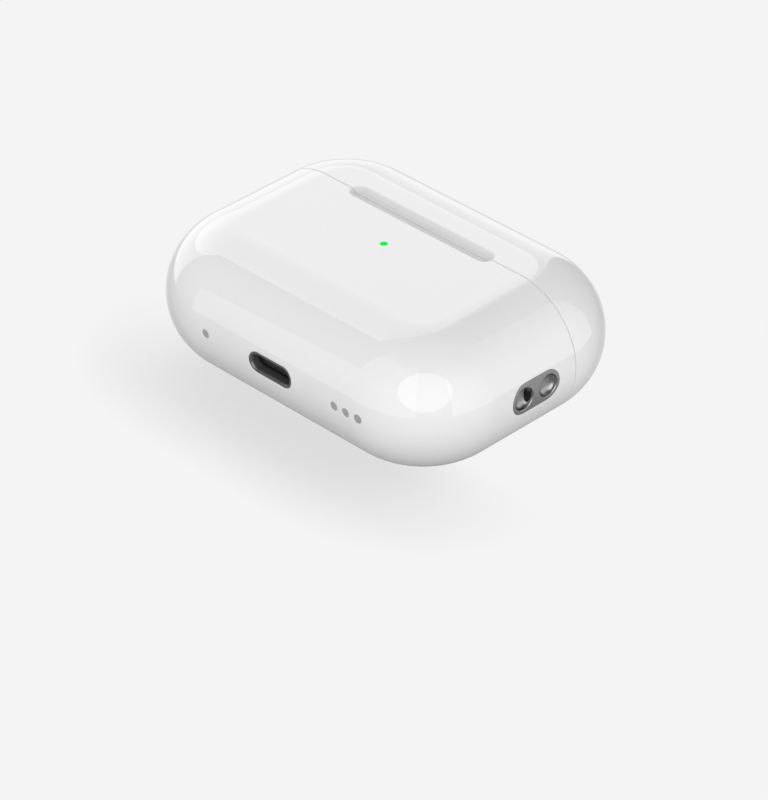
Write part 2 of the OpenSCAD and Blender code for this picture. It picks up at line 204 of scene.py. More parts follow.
def groove_depth(x, y):
    """Depth of the thumb groove: soft banks down to a flat floor."""
    share = min(max(groove_inside(x, y) / GROOVE_BANK, 0.0), 1.0)
    return GROOVE_D * share * share * (3 - 2 * share)


def outward(point):
    """The outer form's own normal at a point, and how far the point is from the form."""
    qx = min(max(point.x, -CORE_X), CORE_X)
    qy = min(max(point.y, -CORE_Y), CORE_Y)
    flat = Vector((point.x - qx, point.y - qy))
    beyond = flat.length
    up = point.z - MID_Z
    if beyond <= CORE_R:
        return Vector((0, 0, math.copysign(1, up))), abs(up) - EDGE_R
    along = flat / beyond
    out = Vector((along.x * (beyond - CORE_R), along.y * (beyond - CORE_R), up))
    return out.normalized(), out.length - EDGE_R


def flat_samples():
    return np.linspace(-1, 1, FLAT_STEPS + 1)


def tube_rows(sign, outer):
    """Places across the straight part, from the seam outwards, each with its inset at the seam's fillet."""
    start = LID_FOOT if sign > 0 else -BASE_TOP
    margin, least = 0.3 * MM, 0.01 * MM
    rows = []
    if outer:
        for k in range(FILLET_STEPS + 1):
            turn = math.pi / 2 * k / FILLET_STEPS
            rows.append((start + SEAM_FILLET * (1 - math.cos(turn)), SEAM_FILLET * (1 - math.sin(turn))))
        fine_end = min(start + GROOVE_W / 2 + margin, CORE_Y)
        first = start + SEAM_FILLET
        fine = max(2, round((fine_end - first) / FINE_ROW))
        rows += [(first + (fine_end - first) * k / fine, 0.0) for k in range(1, fine + 1)]
    else:
        fine_end = start
        rows.append((start, 0.0))
    if CORE_Y - fine_end > least:
        coarse = max(1, round((CORE_Y - fine_end) / COARSE_ROW))
        rows += [(fine_end + (CORE_Y - fine_end) * k / coarse, 0.0) for k in range(1, coarse + 1)]
    return rows


def section(y, radius, front_depth):
    """The closed loop round the case at one place in Y: front, one side, back, other side."""
    loop = []
    for u in flat_samples():
        loop.append((u * FLAT_X, y, MID_Z + radius - front_depth(u * FLAT_X, y)))
    for k in range(1, ARC_STEPS):
        turn = math.pi / 2 - math.pi * k / ARC_STEPS
        loop.append((FLAT_X + radius * math.cos(turn), y, MID_Z + radius * math.sin(turn)))
    for u in flat_samples()[::-1]:
        loop.append((u * FLAT_X, y, MID_Z - radius))
    for k in range(1, ARC_STEPS):
        turn = -math.pi / 2 - math.pi * k / ARC_STEPS
        loop.append((-FLAT_X + radius * math.cos(turn), y, MID_Z + radius * math.sin(turn)))
    loop.append(loop[0])
    return loop


def no_groove(_x, _y):
    return 0.0


def end_stations():
    """Places round the closed end, as (middle in X, the way out in X, the way out in Y)."""
    shares = [k / CORNER_STEPS for k in range(CORNER_STEPS + 1)]
    near = [math.pi / 2 * share for share in shares]
    far = [math.pi / 2 * (1 + share) for share in shares]
    out = [(CORE_X, math.cos(turn), math.sin(turn)) for turn in near]
    out += [(u * CORE_X, 0.0, 1.0) for u in flat_samples()[::-1][1:-1]]
    return out + [(-CORE_X, math.cos(turn), math.sin(turn)) for turn in far]


def round_end(patches, sign, radius, flip):
    """Adds the round edge of the closed end, with its two corners."""
    ring = []
    for cx, nx, ny in end_stations():
        line = []
        for k in range(ARC_STEPS + 1):
            turn = math.pi / 2 - math.pi * k / ARC_STEPS
            reach = CORE_R + radius * math.cos(turn)
            line.append((cx + nx * reach, sign * (CORE_Y + ny * reach), MID_Z + radius * math.sin(turn)))
        ring.append(line)
    patches.grid(ring, flip)


def flat_end(patches, sign, height_at, flip):
    """Adds the flat of the front or back face between the end's corners."""
    sheet = []
    for k in range(CORNER_STEPS + 1):
        turn = math.pi / 2 * k / CORNER_STEPS
        y = sign * (CORE_Y + CORE_R * math.sin(turn))
        reach = CORE_X + CORE_R * math.cos(turn)
        sheet.append([(u * reach, y, height_at(u * reach, y)) for u in flat_samples()])
    patches.grid(sheet, flip)


def form_surface(patches, sign, inset, flip):
    """Adds one half of the case's form, from the seam to its closed end."""
    outer = inset == 0
    radius = EDGE_R - inset
    depth = groove_depth if outer else no_groove
    rows = [section(sign * y, radius - fillet, depth) for y, fillet in tube_rows(sign, outer)]
    patches.grid(rows, flip)
    round_end(patches, sign, radius, flip)
    flat_end(patches, sign, lambda x, y: MID_Z + radius - depth(x, y), flip)
    flat_end(patches, sign, lambda _x, _y: MID_Z - radius, flip)


def shell_mesh(name, sign):
    """A closed shell with an even wall: outer form, inner form and the rim between them."""
    patches = Patches()
    form_surface(patches, sign, 0, False)
    form_surface(patches, sign, WALL, True)
    start = LID_FOOT if sign > 0 else BASE_TOP
    outer_rim = section(start, EDGE_R - SEAM_FILLET, groove_depth)
    inner_rim = section(start, EDGE_R - WALL, no_groove)
    patches.grid([outer_rim, inner_rim])
    return patches.mesh(name)


def form_normals(piece, drop=0.0):
    """Gives what lies on the form, or a given drop below it, the form's exact normals, so that
    reflections run clean round the cuts."""
    close, alike = 0.001 * MM, 0.97
    data = piece.data
    data.update()
    normals = [Vector(n.vector) for n in data.corner_normals]
    for face in data.polygons:
        for k in face.loop_indices:
            point = data.vertices[data.loops[k].vertex_index].co
            exact, off = outward(point)
            if abs(off + drop) < close and exact.dot(face.normal) > alike:
                normals[k] = exact
    data.normals_split_custom_set(normals)


# ---------------------------------------------------------------- cutters

def stadium(length, height, steps=24):
    """Outline of a stadium round the origin, as (along, up) points, and the outward direction at each."""
    half = (length - height) / 2
    out = []
    for side in (1, -1):
        for k in range(steps + 1):
            turn = -math.pi / 2 + math.pi * k / steps
            if side < 0:
                turn += math.pi
            out.append((side * half, math.cos(turn), math.sin(turn)))
    return [(cx + nx * height / 2, nz * height / 2, nx, nz) for cx, nx, nz in out]


def ringed(name, rings):
    """A closed solid through a list of rings, capped at both ends."""
    count = len(rings[0])
    points = [p for ring in rings for p in ring]
    faces = []
    for i in range(len(rings) - 1):
        for j in range(count):
            a, b = i * count + j, i * count + (j + 1) % count
            faces.append((a, b, b + count, a + count))
    faces.append(tuple(range(count))[::-1])
    faces.append(tuple(range((len(rings) - 1) * count, len(rings) * count)))
    data = bpy.data.meshes.new(name)
    data.from_pydata(points, [], faces)
    bm = bmesh.new()
    bm.from_mesh(data)
    bmesh.ops.recalc_face_normals(bm, faces=bm.faces)
    bm.to_mesh(data)
    bm.free()
    return new_object(name, data)


def flare_profile(fillet):
    """(widening, depth) pairs for a straight hole with a rounded mouth, from outside to inside."""
    out = [(fillet, -OUTSIDE)]
    for k in range(FILLET_STEPS + 1):
        turn = math.pi / 2 * k / FILLET_STEPS
        out.append((fillet * (1 - math.sin(turn)), fillet * (1 - math.cos(turn))))
    out.append((0.0, CUT_DEPTH))
    return out


def end_hole(x, length, height, fillet):
    """A cutter for an opening in the port side, following its curve."""
    rings = []
    for wide, depth in flare_profile(fillet):
        ring = []
        for along, up, nx, nz in stadium(length, height):
            px, pz = x + along + nx * wide, MID_Z + up + nz * wide
            ring.append((px, end_y(px, pz) + depth, pz))
        rings.append(ring)
    return ringed("cutter", rings)


def side_hole(y, length, height, fillet):
    """A cutter for an opening in the lanyard side, following its curve."""
    rings = []
    for wide, depth in flare_profile(fillet):
        ring = []
        for along, up, ny, nz in stadium(length, height):
            py, pz = y + along + ny * wide, MID_Z + up + nz * wide
            ring.append((side_x(pz) - depth, py, pz))
        rings.append(ring)
    return ringed("cutter", rings)


def face_hole(x, y, radius, front, fillet, steps=64):
    """A round cutter in the front or back face."""
    rings = []
    for wide, depth in flare_profile(fillet):
        z = MID_Z + (EDGE_R - depth if front else depth - EDGE_R)
        ring = []
        for k in range(steps):
            turn = 2 * math.pi * k / steps
            ring.append((x + (radius + wide) * math.cos(turn), y + (radius + wide) * math.sin(turn), z))
        rings.append(ring)
    return ringed("cutter", rings)


def prism(outline, half_x):
    """A cutter in X, as far to each side, from an outline of (y, z) points."""
    return ringed("cutter", [[(x, y, z) for y, z in outline] for x in (-half_x, half_x)])


def relief_cutter():
    """The shallow V along the back of the seam, in which the lid turns."""
    top = HINGE.z + 0.1 * MM
    lean = math.radians(54)
    half = (top + OUTSIDE) * math.tan(lean)
    outline = [(SEAM_Y, top), (SEAM_Y - half, -OUTSIDE), (SEAM_Y + half, -OUTSIDE)]
    return prism(outline, HALF_W)


def window_cutter():
    """The slot in the back that the hinge barrel lies in."""
    half_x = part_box("hinge_base_leaf")[1].x + 0.15 * MM
    half_y = 1.95 * MM
    top = WALL + 0.1 * MM
    outline = [
        (SEAM_Y - half_y, -OUTSIDE), (SEAM_Y + half_y, -OUTSIDE),
        (SEAM_Y + half_y, top), (SEAM_Y - half_y, top),
    ]
    return prism(outline, half_x)


# ---------------------------------------------------------------- outer pieces

def centre_of(node):
    low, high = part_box(node)
    return (low + high) / 2


def half_of(node):
    low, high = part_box(node)
    return (high - low) / 2


def sound_hole_places():
    """The middles in X of the three speaker holes."""
    low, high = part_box("speaker_mesh")
    radius = half_of("vent_mesh").x
    first, last = low.x + radius, high.x - radius
    return [first, (first + last) / 2, last]


def finish_piece(piece, body, node):
    """Puts a finer piece on its body, in place of its CAD node."""
    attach(piece, body)
    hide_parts(node)


def make_base_shell():
    piece = new_object("base_case", shell_mesh("base_case", -1))
    hole = 2 * half_of("vent_mesh").x + 0.06 * MM
    sharp, soft, fine = 0.05 * MM, 0.08 * MM, 0.03 * MM
    port, loop = half_of("port_collar"), half_of("lanyard_loop")
    loop_y = centre_of("lanyard_loop").y
    led = centre_of("light_pipe")
    button = centre_of("pairing_button")
    cutters = [
        end_hole(0, 2 * port.x + GAP, 2 * port.z + GAP, sharp),
        end_hole(centre_of("vent_mesh").x, hole, hole * NOT_QUITE, soft),
        side_hole(loop_y, 2 * loop.y + GAP, 2 * loop.z + GAP, sharp),
        face_hole(led.x, led.y, LED_HOLE_R, True, fine),
        face_hole(button.x, button.y, BUTTON_HOLE_R, False, soft),
        relief_cutter(),
        window_cutter(),
    ]
    cutters += [end_hole(x, hole, hole * NOT_QUITE, soft) for x in sound_hole_places()]
    cut(piece, cutters)
    smooth(piece)
    form_normals(piece)
    finish_piece(piece, "base", "base_shell")
    return piece


def make_lid_shell():
    piece = new_object("lid_case", shell_mesh("lid_case", 1))
    cut(piece, [relief_cutter(), window_cutter()])
    smooth(piece)
    form_normals(piece)
    finish_piece(piece, "lid", "lid_shell")
    return piece


def follow_side(y, up, depth):
    """A point below the lanyard side's surface, at a place given from the loop's middle."""
    centre = centre_of("lanyard_loop").y
    return (side_x(MID_Z + up) - depth, centre + y, MID_Z + up)


def bowl_cutter(y, radius, deep, lip):
    """A round scoop in the lanyard side with a rounded lip."""
    lip_steps, bowl_steps, round_steps = 7, 24, 96
    last = math.radians(88)
    profile = [(radius + lip, -OUTSIDE)]
    for k in range(lip_steps + 1):
        turn = math.pi / 2 * k / lip_steps
        profile.append((radius + lip * (1 - math.sin(turn)), lip * (1 - math.cos(turn))))
    for k in range(1, bowl_steps + 1):
        turn = last * k / bowl_steps
        profile.append((radius * math.cos(turn), lip + (deep - lip) * math.sin(turn)))
    turns = [2 * math.pi * k / round_steps for k in range(round_steps)]
    rings = []
    for reach, depth in profile:
        rings.append([follow_side(y + reach * math.cos(t), reach * math.sin(t), depth) for t in turns])
    return ringed("cutter", rings)


def cord_passage(reach, depth, tall, thick):
    """The passage under the bar, a plump egg that opens into both scoops."""
    long_steps, round_steps = 32, 64
    middle = centre_of("lanyard_loop").y
    turns = [2 * math.pi * k / round_steps for k in range(round_steps)]
    rings = []
    for i in range(1, long_steps):
        along = -math.cos(math.pi * i / long_steps)
        size = (1 - along ** 4) ** 0.25
        ring = []
        for t in turns:
            plump = math.copysign(abs(math.sin(t)) ** 0.5, math.sin(t))
            x = HALF_W - depth - thick * size * plump
            ring.append((x, middle + reach * along, MID_Z + tall * size * math.cos(t)))
        rings.append(ring)
    return ringed("cutter", rings)


def loop_plate(thick, length, height):
    """The loop's plate before its scoops are cut: a slab that follows the side, with a rounded edge."""
    edge, edge_steps, face_steps = 0.08 * MM, 4, 14
    least = 0.01 * MM

    def ring(inset, depth):
        outline = stadium(length - 2 * inset, height - 2 * inset)
        return [follow_side(y, up, depth) for y, up, _, _ in outline]

    rings = [ring(0, thick)]
    for k in range(edge_steps + 1):
        turn = math.pi / 2 * k / edge_steps
        rings.append(ring(edge * (1 - math.cos(turn)), PLATE_DROP + edge * (1 - math.sin(turn))))
    for k in range(1, face_steps + 1):
        rings.append(ring(edge + (height / 2 - edge - least) * k / face_steps, PLATE_DROP))
    return ringed("lanyard_bar", rings)


def make_lanyard_loop():
    """The metal plate in the side: flush with the case, with two scoops and a bar between them."""
    half = half_of("lanyard_loop")
    piece = loop_plate(2 * half.x - GAP, 2 * half.y, 2 * half.z)
    scoop_y, scoop_r, scoop_deep, lip = 2.42 * MM, 1.72 * MM, 1.30 * MM, 0.24 * MM
    cutters = [bowl_cutter(side * scoop_y, scoop_r, scoop_deep, lip) for side in (-1, 1)]
    cutters.append(cord_passage(1.5 * MM, 0.95 * MM, 1.85 * MM, 0.60 * MM))
    cut(piece, cutters)
    smooth(piece, 50)
    form_normals(piece, PLATE_DROP)
    finish_piece(piece, "base", "lanyard_loop")
    put(piece, finish_for("loop_steel"))


def make_port_collar():
    """The metal ring round the charging port: a narrow face, a bevelled mouth and a straight wall."""
    half = half_of("port_collar")
    length, height = 2 * half.x, 2 * half.z
    depth = 1.5 * MM
    wall, bevel, edge, flush = 0.50 * MM, 0.24 * MM, 0.06 * MM, 0.03 * MM
    profile = [
        (0.0, depth), (0.0, flush + edge), (0.3 * edge, flush + 0.3 * edge), (edge, flush),
        (wall - bevel, flush), (wall - bevel + 0.03 * MM, flush + 0.01 * MM),
        (wall - 0.02 * MM, flush + bevel), (wall, flush + bevel + 0.05 * MM), (wall, depth),
    ]
    columns = []
    for along, up, nx, nz in stadium(length, height, 32):
        column = []
        for inset, deep in profile + profile[:1]:
            x, z = along - nx * inset, MID_Z + up - nz * inset
            column.append((x, end_y(x, z) + deep, z))
        columns.append(column)
    patches = Patches()
    patches.grid(columns + columns[:1])
    piece = new_object("port_rim", patches.mesh("port_rim"))
    smooth(piece, 25)
    finish_piece(piece, "base", "port_collar")
    put(piece, finish_for("port_steel"))


def lathe(name, x, y, profile, steps=96):
    """A turned piece about an upright axis, from (radius, height) pairs that start and end on the axis."""
    columns = []
    for k in range(steps + 1):
        turn = 2 * math.pi * (k % steps) / steps
        columns.append([(x + r * math.cos(turn), y + r * math.sin(turn), z) for r, z in profile])
    patches = Patches()
    patches.grid(columns)
    return new_object(name, patches.mesh(name))


def arc(centre_r, centre_z, radius, start, end, steps=6):
    """(radius, height) pairs along part of a circle, between two angles in degrees."""
    out = []
    for k in range(steps + 1):
        turn = math.radians(start + (end - start) * k / steps)
        out.append((centre_r + radius * math.cos(turn), centre_z + radius * math.sin(turn)))
    return out


def make_button():
    """The round pairing button: a shallow dish with a soft rim, a flange behind the wall and a plunger."""
    low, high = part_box("pairing_button")
    centre = centre_of("pairing_button")
    cap_r, rim, dish = BUTTON_R, 0.25 * MM, 0.10 * MM
    flange_r, plunger_r = (high.x - low.x) / 2, 0.8 * MM
    flange_z, flange_t, bevel = WALL + 0.05 * MM, 0.5 * MM, 0.05 * MM
    dish_steps = 9
    profile = [(0.0, low.z + dish)]
    for k in range(1, dish_steps):
        share = k / dish_steps
        profile.append(((cap_r - rim) * share, low.z + dish * (1 - share ** 2)))
    profile += arc(cap_r - rim, low.z + rim, rim, -90, 0)
    profile += [(cap_r, flange_z), (flange_r - bevel, flange_z), (flange_r, flange_z + bevel)]
    profile += [(flange_r, flange_z + flange_t), (plunger_r, flange_z + flange_t)]
    profile += [(plunger_r, high.z - 2 * bevel), (plunger_r - 2 * bevel, high.z), (0.0, high.z)]
    piece = lathe("back_button", centre.x, centre.y, profile)
    smooth(piece)
    finish_piece(piece, "button", "pairing_button")
    put(piece, finish_for("shell_white"))


def make_light_lens():
    """The status light's lens: a small domed rod with a collar behind the wall."""
    low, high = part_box("light_pipe")
    centre = centre_of("light_pipe")
    rod_r, dome = 0.55 * MM, 0.06 * MM
    collar_r = (high.x - low.x) / 2
    collar_top = 2 * EDGE_R - WALL - 0.05 * MM
    collar_foot = collar_top - 0.95 * MM
    profile = [(0.0, low.z), (rod_r, low.z), (rod_r, collar_foot), (collar_r, collar_foot)]
    profile += [(collar_r, collar_top), (rod_r, collar_top)]
    profile += arc(rod_r - dome, high.z - dome, dome, 0, 90)
    profile += [(0.0, high.z)]
    piece = lathe("status_lens", centre.x, centre.y, profile)
    smooth(piece)
    finish_piece(piece, "base", "light_pipe")
    put(piece, finish_for("led_lens"))


# ---------------------------------------------------------------- node helpers

def material(name):
    made = bpy.data.materials.new(name)
    made.use_nodes = True
    tree = made.node_tree
    return made, tree, tree.nodes["Principled BSDF"]


def link(tree, source, target):
    """Joins a node's output, or sets a plain value, on an input."""
    if isinstance(source, (int, float)):
        target.default_value = source
    else:
        tree.links.new(source, target)


def math_node(tree, operation, *values):
    node = tree.nodes.new("ShaderNodeMath")
    node.operation = operation
    for value, socket in zip(values, node.inputs):
        link(tree, value, socket)
    return node.outputs[0]


def place_of(tree, stretch=(1, 1, 1)):
    """Places on the piece in its own frame, scaled along each axis."""
    node = tree.nodes.new("ShaderNodeVectorMath")
    node.operation = "MULTIPLY"
    tree.links.new(tree.nodes.new("ShaderNodeTexCoord").outputs["Object"], node.inputs[0])
    node.inputs[1].default_value = stretch
    return node.outputs[0]


def noise(tree, place, size, detail=2.0):
    """Soft noise from 0 to 1, with features of about the given size."""
    node = tree.nodes.new("ShaderNodeTexNoise")
    node.inputs["Scale"].default_value = 1 / size
    node.inputs["Detail"].default_value = detail
    tree.links.new(place, node.inputs["Vector"])
    return node.outputs["Fac"]


def cells(tree, place, size):
    """Distance to the nearest of scattered points, for foam and pores."""
    node = tree.nodes.new("ShaderNodeTexVoronoi")
    node.inputs["Scale"].default_value = 1 / size
    tree.links.new(place, node.inputs["Vector"])
    return node.outputs["Distance"]


def stripes(tree, axis, period):
    """A sine from 0 to 1 along one axis of the piece."""
    split = tree.nodes.new("ShaderNodeSeparateXYZ")
    tree.links.new(place_of(tree), split.inputs[0])
    turn = math_node(tree, "MULTIPLY", split.outputs[axis], 2 * math.pi / period)
    return math_node(tree, "MULTIPLY_ADD", math_node(tree, "SINE", turn), 0.5, 0.5)


def spread(tree, value, from_low, from_high, to_low, to_high):
    """Maps one range onto another, held at the ends."""
    node = tree.nodes.new("ShaderNodeMapRange")
    for socket, number in zip(node.inputs[1:5], (from_low, from_high, to_low, to_high)):
        socket.default_value = number
    tree.links.new(value, node.inputs["Value"])
    return node.outputs["Result"]


def blend_colors(tree, share, first, second):
    """A mix of two colours, each a plain one or a node's output."""
    node = tree.nodes.new("ShaderNodeMix")
    node.data_type = "RGBA"
    link(tree, share, node.inputs["Factor"])
    for color, socket in ((first, node.inputs["A"]), (second, node.inputs["B"])):
        if isinstance(color, tuple):
            socket.default_value = (*color, 1)
        else:
            tree.links.new(color, socket)
    return node.outputs["Result"]


def relief(tree, shade, height, depth):
    """Raises the surface by a height from 0 to 1 over a real depth."""
    node = tree.nodes.new("ShaderNodeBump")
    node.inputs["Strength"].default_value = 1.0
    node.inputs["Distance"].default_value = depth
    tree.links.new(height, node.inputs["Height"])
    tree.links.new(node.outputs["Normal"], shade.inputs["Normal"])


def tint(color, factor):
    return tuple(min(c * factor, 1.0) for c in color)


def mottle(tree, shade, share, color, dark, light):
    """Lets the base colour wander between two tints of one colour."""
    mixed = blend_colors(tree, share, tint(color, dark), tint(color, light))
    tree.links.new(mixed, shade.inputs["Base Color"])


def vary_rough(tree, shade, share, low, high, start=0.3, end=0.7):
    """Lets the roughness wander between two values as a noise goes from start to end."""
    tree.links.new(spread(tree, share, start, end, low, high), shade.inputs["Roughness"])


def direction(azimuth, elevation):
    """The unit vector towards a place in the studio: azimuth 0 is the port's side, 90 the lanyard's."""
    a, e = math.radians(azimuth), math.radians(elevation)
    return Vector((math.sin(a) * math.cos(e), -math.cos(a) * math.cos(e), math.sin(e)))


def mix_shaders(tree, share, first, second):
    """Ends a material in a mix of two shaders."""
    mix = tree.nodes.new("ShaderNodeMixShader")
    link(tree, share, mix.inputs[0])
    tree.links.new(first.outputs[0], mix.inputs[1])
    tree.links.new(second.outputs[0], mix.inputs[2])
    tree.links.new(mix.outputs[0], tree.nodes["Material Output"].inputs["Surface"])


def matt(shade):
    """Makes a shader matt, without any gloss."""
    shade.inputs["Roughness"].default_value = 1.0
    shade.inputs["Specular IOR Level"].default_value = 0.0


class Studio:
    """The light that reaches the case from each direction, as sums of nodes. Angles are in degrees."""

    def __init__(self, tree, toward):
        self.tree = tree
        self.toward = toward
        split = tree.nodes.new("ShaderNodeSeparateXYZ")
        tree.links.new(toward, split.inputs[0])
        x, y, z = split.outputs
        turn = self.do("ARCTAN2", x, self.do("MULTIPLY", y, -1.0))
        self.azimuth = self.do("MULTIPLY", turn, 180 / math.pi)
        self.elevation = self.do("MULTIPLY", self.do("ARCSINE", z), 180 / math.pi)

    def do(self, operation, *values):
        return math_node(self.tree, operation, *values)

    def above(self, value, edge, soft=1.0):
        """1 where value is above edge, 0 below, over a soft band."""
        return spread(self.tree, value, edge - soft / 2, edge + soft / 2, 0.0, 1.0)

    def below(self, value, edge, soft=1.0):
        """0 where value is above edge, 1 below, over a soft band."""
        return spread(self.tree, value, edge - soft / 2, edge + soft / 2, 1.0, 0.0)

    def panel(self, low, high, level, fade):
        """A tall soft panel between two azimuths, dimmer towards its top."""
        sides = self.do("MULTIPLY", self.above(self.azimuth, low), self.below(self.azimuth, high))
        foot, top = self.above(self.elevation, HORIZON), self.below(self.elevation, PANEL_TOP, PANEL_BAND)
        ends = self.do("MULTIPLY", foot, top)
        climb = self.do("POWER", spread(self.tree, self.elevation, 0, 60, 0.0, 1.0), 2.0)
        strength = self.do("MULTIPLY_ADD", climb, -fade * level, level)
        return self.do("MULTIPLY", self.do("MULTIPLY", sides, ends), strength)

    def disc(self, azimuth, elevation, radius, level, soft=1.0):
        """A round area of light."""
        node = self.tree.nodes.new("ShaderNodeVectorMath")
        node.operation = "DOT_PRODUCT"
        self.tree.links.new(self.toward, node.inputs[0])
        node.inputs[1].default_value = direction(azimuth, elevation)
        away = self.do("MULTIPLY", self.do("ARCCOSINE", node.outputs["Value"]), 180 / math.pi)
        return self.do("MULTIPLY", self.below(away, radius, soft), level)

    def level(self):
        """Sky, ground, three tall panels and the round light behind the case."""
        sky = self.do("MULTIPLY_ADD", self.below(self.elevation, SKY_MIDDLE, SKY_BAND), SKY_FOOT, SKY_TOP)
        open_sky = self.do("MULTIPLY", sky, self.above(self.elevation, HORIZON))
        total = self.do("MULTIPLY_ADD", self.below(self.elevation, HORIZON), GROUND_LEVEL, open_sky)
        for part in [self.panel(*panel) for panel in TALL_PANELS] + [self.disc(*FAR_ROUND)]:
            total = self.do("ADD", total, part)
        return total


# ---------------------------------------------------------------- materials

def groove_share(tree):
    """1 in the thumb groove and 0 outside it, by the place on the piece."""
    split = tree.nodes.new("ShaderNodeSeparateXYZ")
    tree.links.new(place_of(tree), split.inputs[0])
    x, y, z = split.outputs

    def do(operation, *values):
        return math_node(tree, operation, *values)

    past = do("MAXIMUM", do("SUBTRACT", do("ABSOLUTE", x), (GROOVE_L - GROOVE_W) / 2), 0.0)
    across = do("SUBTRACT", y, SEAM_Y)
    away = do("SQRT", do("ADD", do("POWER", past, 2.0), do("MULTIPLY", across, across)))
    within = spread(tree, away, GROOVE_W / 2, GROOVE_W / 2 - 0.3 * MM, 0.0, 1.0)
    return do("MULTIPLY", within, do("GREATER_THAN", z, MID_Z))


def mirrored_way(tree):
    """The direction in which the painted reflection looks up the studio, led astray a little, since no polish is
    quite even.
    """
    peel = tree.nodes.new("ShaderNodeTexNoise")
    peel.inputs["Scale"].default_value = 1 / (4 * MM)
    tree.links.new(place_of(tree), peel.inputs["Vector"])
    wander = tree.nodes.new("ShaderNodeVectorMath")
    wander.operation = "MULTIPLY_ADD"
    tree.links.new(peel.outputs["Color"], wander.inputs[0])
    wander.inputs[1].default_value = (0.006, 0.006, 0.006)
    tree.links.new(tree.nodes.new("ShaderNodeTexCoord").outputs["Reflection"], wander.inputs[2])
    turned = tree.nodes.new("ShaderNodeVectorMath")
    turned.operation = "NORMALIZE"
    tree.links.new(wander.outputs[0], turned.inputs[0])
    return turned.outputs[0]


def painted_reflection_level(tree, share):
    """The level of the painted reflection: what a polish would mirror, looked up by direction in the studio, the
    near round light and, high on the case, the table. It is held below glare where the reflection's share of the
    light is large."""
    studio = Studio(tree, mirrored_way(tree))
    near = studio.disc(NEAR_AZIMUTH, NEAR_ELEVATION, NEAR_RADIUS, NEAR_LEVEL)
    split = tree.nodes.new("ShaderNodeSeparateXYZ")
    tree.links.new(place_of(tree), split.inputs[0])
    clear = spread(tree, split.outputs[2], 0.25 * MID_Z, 1.1 * MID_Z, 0.0, 1.0)
    table = studio.do("MULTIPLY", studio.disc(*TABLE_GLARE), clear)
    total = studio.do("ADD", studio.do("ADD", studio.level(), near), table)
    ceiling = studio.do("ADD", studio.do("DIVIDE", PAINTED_REFLECTION_CEILING, share), 1 - PAINTED_REFLECTION_CEILING)
    return studio.do("MINIMUM", total, ceiling)


def gloss_white():
    """Polished white plastic, unpolished in the thumb groove, where its tone is painted darker as shade. Its gloss
    is a painted reflection, an emission that follows the studio by direction, so that the soft lights' edges stay
    crisp. The plastic under it is faintly cloudy."""
    made, tree, shade = material("gloss_white")
    cloud = noise(tree, place_of(tree), 1.1 * MM, 3)
    satin_and_shade = groove_share(tree)
    polished = blend_colors(tree, cloud, (0.757, 0.757, 0.761), (0.773, 0.773, 0.773))
    # painted shade: the thumb groove gets a darker tone than the polish round it
    tone = blend_colors(tree, satin_and_shade, polished, (0.69, 0.69, 0.69))
    tree.links.new(tone, shade.inputs["Base Color"])
    shade.inputs["Roughness"].default_value = 0.6
    shade.inputs["Specular IOR Level"].default_value = 0.0
    fresnel = tree.nodes.new("ShaderNodeFresnel")
    fresnel.inputs["IOR"].default_value = 1.5
    share = fresnel.outputs[0]
    # painted reflection: an emission as bright as the studio in the mirrored direction, in place of traced gloss
    painted_reflection = tree.nodes.new("ShaderNodeEmission")
    tree.links.new(painted_reflection_level(tree, share), painted_reflection.inputs["Strength"])
    painted_reflection_share = math_node(tree, "MULTIPLY", share, math_node(tree, "SUBTRACT", 1.0, satin_and_shade))
    mix_shaders(tree, painted_reflection_share, shade, painted_reflection)
    made.cycles.emission_sampling = "NONE"
    return made


def moulded(name, color, rough, grain=0.25 * MM, depth=0.002 * MM, vary=0.06, shine=0.5):
    """Moulded plastic or rubber with a fine grain and slightly uneven colour and sheen."""
    made, tree, shade = material(name)
    cloud = noise(tree, place_of(tree), 3 * MM, 3)
    fine = noise(tree, place_of(tree), grain, 2)
    mottle(tree, shade, cloud, color, 1 - vary, 1 + vary)
    vary_rough(tree, shade, fine, rough * 0.85, rough * 1.15)
    shade.inputs["Specular IOR Level"].default_value = shine
    relief(tree, shade, fine, depth)
    return made


def brushed(name, color, rough, axis=0, vary=0.10):
    """Metal with fine brush lines along one axis."""
    made, tree, shade = material(name)
    stretch = [1.0, 1.0, 1.0]
    stretch[axis] = 0.06
    lines = noise(tree, place_of(tree, stretch), 0.10 * MM, 3)
    cloud = noise(tree, place_of(tree), 1.6 * MM, 3)
    mottle(tree, shade, lines, color, 1 - vary, 1 + vary)
    vary_rough(tree, shade, cloud, rough * 0.8, rough * 1.2)
    shade.inputs["Metallic"].default_value = 1.0
    relief(tree, shade, lines, 0.0015 * MM)
    return made


def satin_metal(name, color, rough, bare=1.0):
    """Bead-blasted metal, bare or partly dulled by anodising: an even fine grain, a cloudy sheen."""
    made, tree, shade = material(name)
    cloud = noise(tree, place_of(tree), 1.2 * MM, 2)
    grain = noise(tree, place_of(tree), 0.05 * MM, 1)
    mottle(tree, shade, cloud, color, 0.96, 1.04)
    vary_rough(tree, shade, grain, rough * 0.9, rough * 1.1)
    shade.inputs["Metallic"].default_value = bare
    relief(tree, shade, grain, 0.0001 * MM)
    return made


def plated(name, color, rough):
    """Bright plating with small stains and pits."""
    made, tree, shade = material(name)
    stain = noise(tree, place_of(tree), 0.7 * MM, 4)
    mottle(tree, shade, stain, color, 0.85, 1.08)
    vary_rough(tree, shade, stain, rough, rough * 1.8, 0.35, 0.65)
    shade.inputs["Metallic"].default_value = 1.0
    relief(tree, shade, cells(tree, place_of(tree), 0.3 * MM), 0.001 * MM)
    return made


